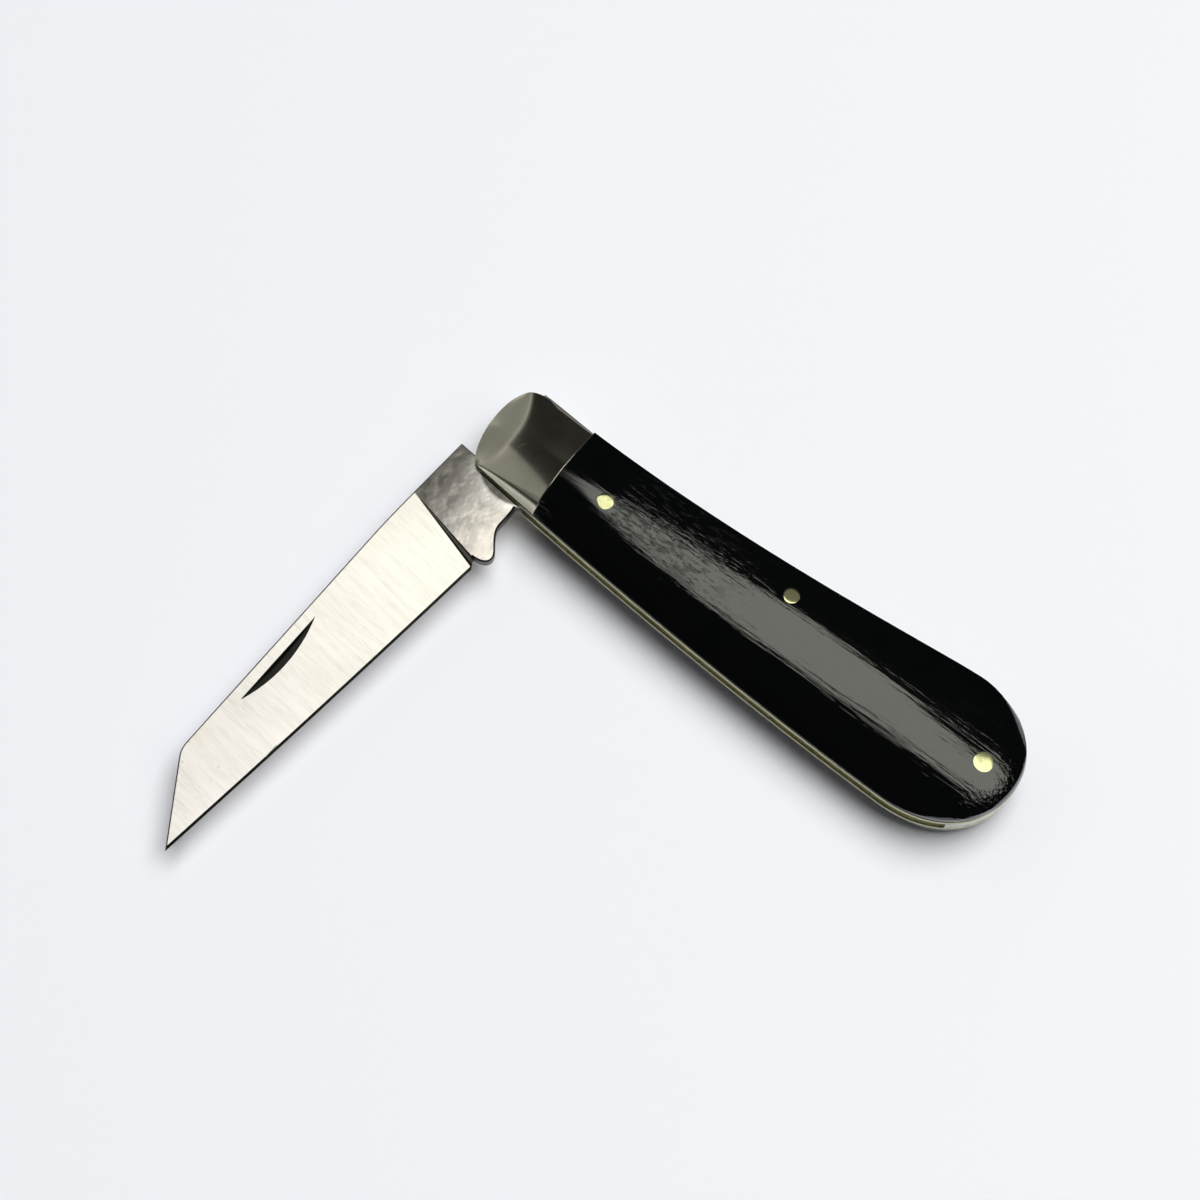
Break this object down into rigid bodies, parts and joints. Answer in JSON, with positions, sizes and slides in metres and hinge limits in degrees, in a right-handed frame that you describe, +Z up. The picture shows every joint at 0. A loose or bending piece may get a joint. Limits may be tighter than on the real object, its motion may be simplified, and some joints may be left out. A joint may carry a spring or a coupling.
{
  "type": "folding pocket knife",
  "caption": "Slip-joint pocket knife, half open: straight-edged blade, backspring, brass liners, polished metal bolsters and dark wood covers with flush brass pins.",
  "frame": {"origin": "on the blade's pivot axis, at the underside of the closed handle, which the knife lies on", "axes": "+X along the handle to its butt, +Y to the spine that the backspring closes, +Z up out of the mark side"},
  "size_m": [0.088, 0.0801, 0.0108],
  "materials": {
    "blade_steel": "fine cross-ground satin on the blade, smoother on the tang",
    "spring_steel": "satin, ground lengthwise",
    "liner_brass": "dull brass, edges ground",
    "bolster_metal": "polished nickel silver",
    "cover_wood": "black-stained close-grained hardwood, polished",
    "pin_brass": "polished flush"
  },
  "bodies": {
    "handle": {"liner_pile_side": "liner_brass", "liner_mark_side": "liner_brass", "backspring": "spring_steel", "bolster_pile_side": "bolster_metal", "bolster_mark_side": "bolster_metal", "cover_pile_side": "cover_wood", "cover_mark_side": "cover_wood", "pivot_pin": "bolster_metal", "centre_pin": "pin_brass", "butt_pin": "pin_brass", "cover_pin_pile_side": "pin_brass", "cover_pin_mark_side": "pin_brass"},
    "blade": {"blade": "blade_steel"}
  },
  "joints": [
    {"name": "blade_pivot", "type": "hinge", "parent": "handle", "child": "blade", "pos_m": [0, 0, 0.0054], "axis": [0, 0, 1], "range_deg": [-84.5, 92], "deforming": ["backspring"]}
  ]
}
